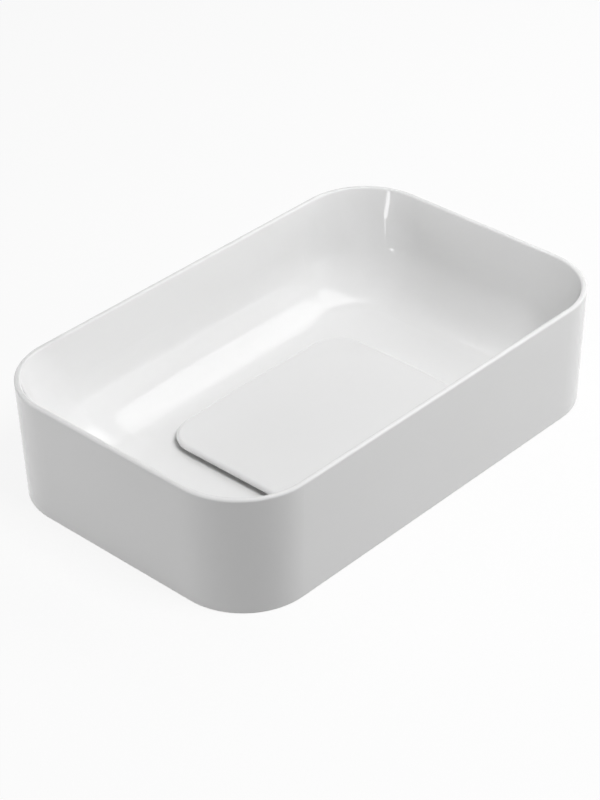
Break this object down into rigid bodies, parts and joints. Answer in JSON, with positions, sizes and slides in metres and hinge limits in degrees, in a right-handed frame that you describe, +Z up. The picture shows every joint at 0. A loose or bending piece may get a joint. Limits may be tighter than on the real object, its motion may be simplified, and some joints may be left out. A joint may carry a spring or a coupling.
{
  "type": "countertop basin",
  "caption": "Rectangular white ceramic countertop basin with rounded corners, a thin rim and a lift-off ceramic cover that hides its waste.",
  "frame": {"origin": "middle of the foot, in the plane of the worktop that it stands on", "axes": "+X along the 600 mm length, away from the slot of the drain cover, +Y from the front long side to the back, +Z up"},
  "size_m": [0.5998, 0.3838, 0.1874],
  "materials": {
    "glaze": "white gloss glaze",
    "cover_glaze": "white gloss glaze",
    "chrome": "chromium plated brass, threads left plain",
    "stainless": "satin",
    "seal_rubber": "moulded EPDM",
    "washer_plastic": "polyethylene",
    "nut_brass": "plain forged and turned",
    "bumper_silicone": "clear silicone"
  },
  "bodies": {
    "basin": {"basin_body": "glaze", "waste_body": "chrome", "waste_grate": "stainless", "grate_screw": "stainless", "flange_seal": "seal_rubber", "boss_seal": "seal_rubber", "slip_washer": "washer_plastic", "back_nut": "nut_brass"},
    "cover": {"drain_cover": "cover_glaze", "cover_bumper_1": "bumper_silicone", "cover_bumper_2": "bumper_silicone", "cover_bumper_3": "bumper_silicone", "cover_bumper_4": "bumper_silicone"}
  },
  "joints": [
    {"name": "cover_lift", "type": "slide", "parent": "basin", "child": "cover", "axis": [0, 0, 1], "range_m": [0, 0.13]}
  ]
}
